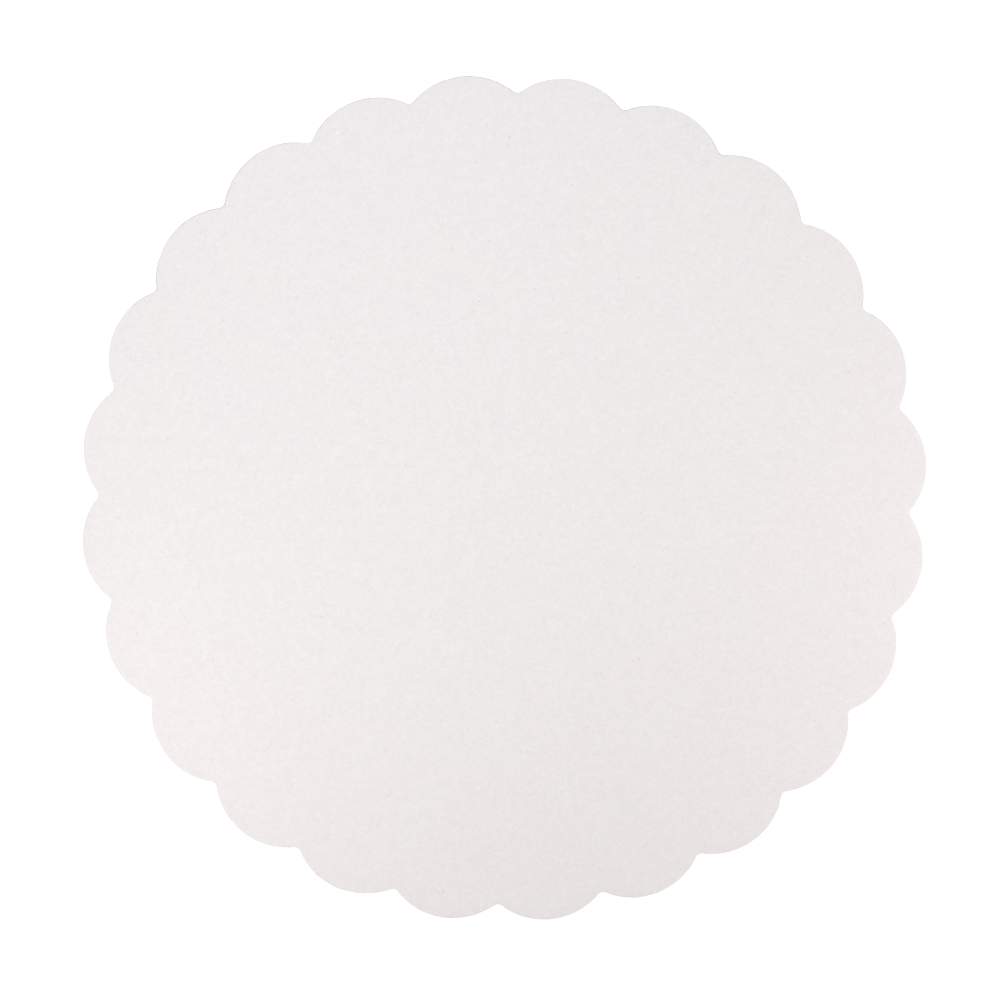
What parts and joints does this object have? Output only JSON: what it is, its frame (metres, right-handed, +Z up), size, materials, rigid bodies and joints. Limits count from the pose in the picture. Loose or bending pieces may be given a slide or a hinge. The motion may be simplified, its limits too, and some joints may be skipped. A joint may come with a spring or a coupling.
{
  "type": "scalloped coaster",
  "caption": "Round flat coaster of off-white absorbent board with a scalloped die-cut edge, to rest a glass or cup on.",
  "frame": {"origin": "centre of the bottom face, the face the coaster lies on", "axes": "+Z up through the thickness, out of the top face that a glass stands on; +X through the tip of one scallop"},
  "size_m": [0.1, 0.1, 0.0014],
  "materials": {
    "board": "matte"
  },
  "bodies": {
    "root": {"scalloped_board": "board"}
  },
  "joints": []
}
